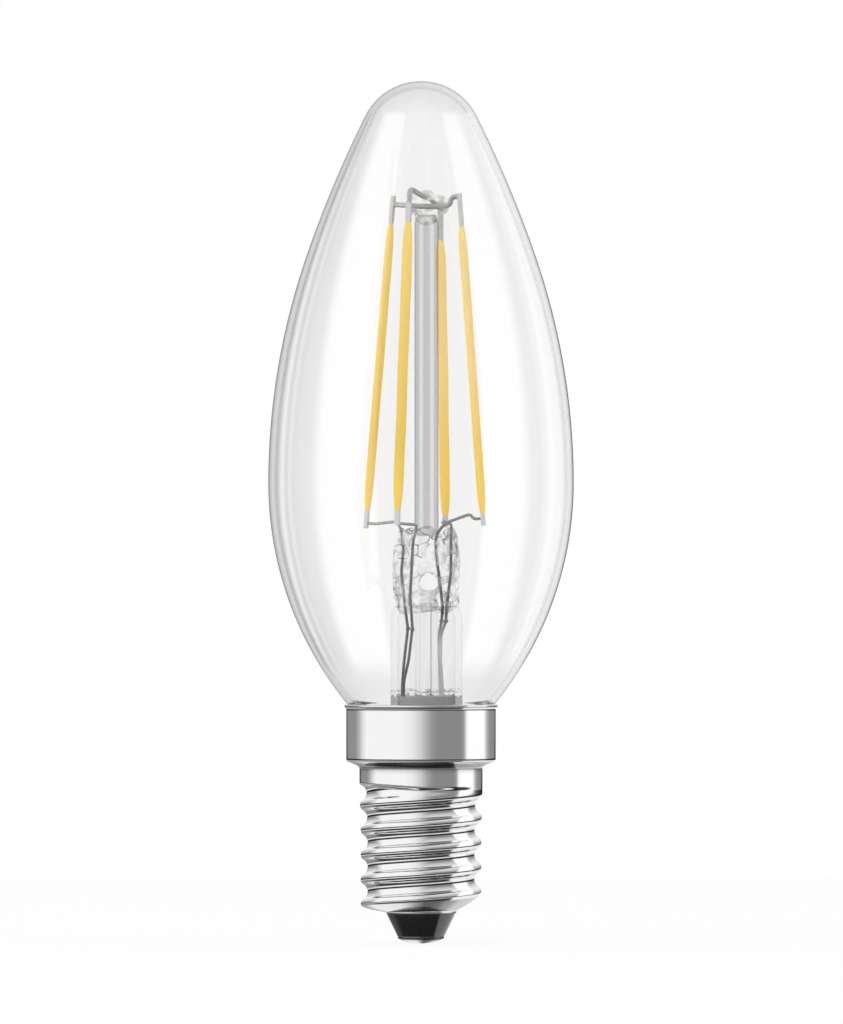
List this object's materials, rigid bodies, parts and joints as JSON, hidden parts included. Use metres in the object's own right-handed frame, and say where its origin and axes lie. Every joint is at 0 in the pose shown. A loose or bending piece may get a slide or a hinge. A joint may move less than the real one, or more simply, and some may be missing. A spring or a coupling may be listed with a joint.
{
  "type": "LED filament candle lamp",
  "caption": "Clear candle-shaped glass lamp with upright LED filaments on a glass mount, a nickel-plated small screw cap, a black insulator and a centre contact.",
  "frame": {"origin": "tip of the centre contact, on the cap's axis", "axes": "+Z along the lamp's axis to the tip of the glass, -Y the side that faces the picture's camera"},
  "size_m": [0.0348, 0.0348, 0.0985],
  "materials": {
    "bulb_glass": "clear blown soda-lime glass, fire polished",
    "stem_glass": "clear lead-free stem glass, pressed and melted",
    "lead_wire": "drawn nickel-iron wire",
    "anchor_wire": "drawn nickel-plated wire",
    "end_strip": "stamped plated strip",
    "phosphor": "silicone with yellow phosphor, matt",
    "potting": "cured silicone",
    "cap_nickel": "nickel-plated rolled brass",
    "insulator": "moulded, smooth",
    "contact_metal": "nickel-plated, pressed",
    "cement": "cured capping cement, matt",
    "sleeve_film": "thin insulating tube",
    "board": "glass-fibre board with green mask",
    "moulded_black": "moulded epoxy",
    "chip_ceramic": "glazed chip resistor",
    "capacitor_can": "can in a shrink sleeve",
    "fuse_coating": "painted resistor body",
    "tinned_wire": "tinned copper wire",
    "wire_cover": "insulated wire"
  },
  "bodies": {
    "root": {"glass_envelope": "bulb_glass", "stem_flare": "stem_glass", "exhaust_tube": "stem_glass", "support_rod": "stem_glass", "lead_wire_left": "lead_wire", "lead_wire_front": "lead_wire", "lead_wire_back": "lead_wire", "lead_wire_right": "lead_wire", "anchor_wire_across": "anchor_wire", "anchor_wire_front_to_back": "anchor_wire", "filament_left": "phosphor", "head_tab_left": "end_strip", "foot_tab_left": "end_strip", "filament_front": "phosphor", "head_tab_front": "end_strip", "foot_tab_front": "end_strip", "filament_back": "phosphor", "head_tab_back": "end_strip", "foot_tab_back": "end_strip", "filament_right": "phosphor", "head_tab_right": "end_strip", "foot_tab_right": "end_strip", "potting_plug": "potting", "cap_shell": "cap_nickel", "cap_insulator": "insulator", "centre_contact": "contact_metal", "capping_cement": "cement", "driver_sleeve": "sleeve_film", "driver_board": "board", "bridge_rectifier": "moulded_black", "driver_chip": "moulded_black", "sense_resistor_left": "chip_ceramic", "sense_resistor_right": "chip_ceramic", "smoothing_capacitor": "capacitor_can", "fusible_resistor": "fuse_coating", "centre_wire": "tinned_wire", "shell_wire": "wire_cover"}
  },
  "joints": []
}
